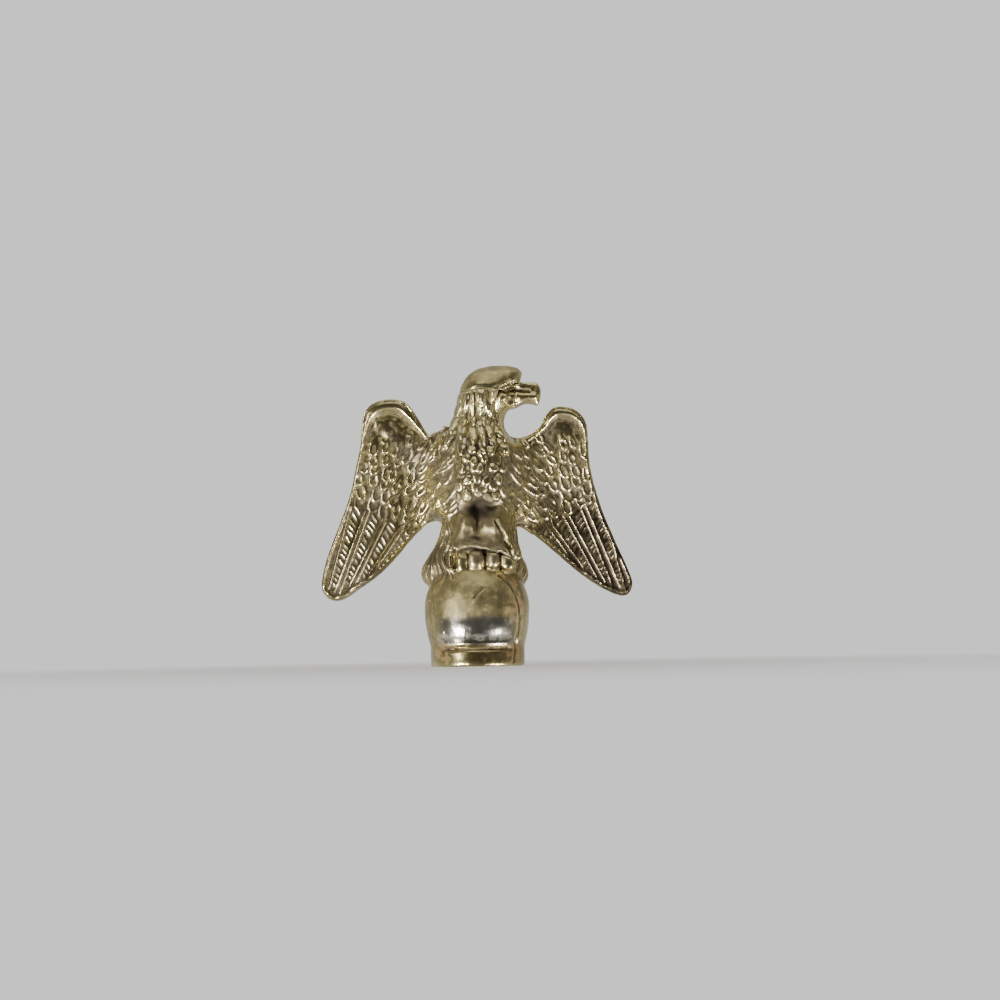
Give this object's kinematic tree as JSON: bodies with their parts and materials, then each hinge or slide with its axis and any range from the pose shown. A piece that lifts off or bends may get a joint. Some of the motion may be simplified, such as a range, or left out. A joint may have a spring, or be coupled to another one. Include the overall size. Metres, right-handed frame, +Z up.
{
  "type": "eagle finial",
  "caption": "Cast metal finial of an eagle with spread, hanging wings and its head turned to the viewer's right, standing on a ball that runs into a short round collar.",
  "frame": {"origin": "middle of the collar's flat underside, the face that the finial stands on", "axes": "+Z up from the collar to the crown of the head, +X to the viewer's right, the way the beak points, front of the eagle towards -Y"},
  "size_m": [0.0598, 0.0198, 0.0568],
  "materials": {
    "worn_plate": "worn silver plate over pale brass, polished on the high parts, brown tarnish in the hollows"
  },
  "bodies": {
    "root": {"eagle_finial": "worn_plate"}
  },
  "joints": []
}
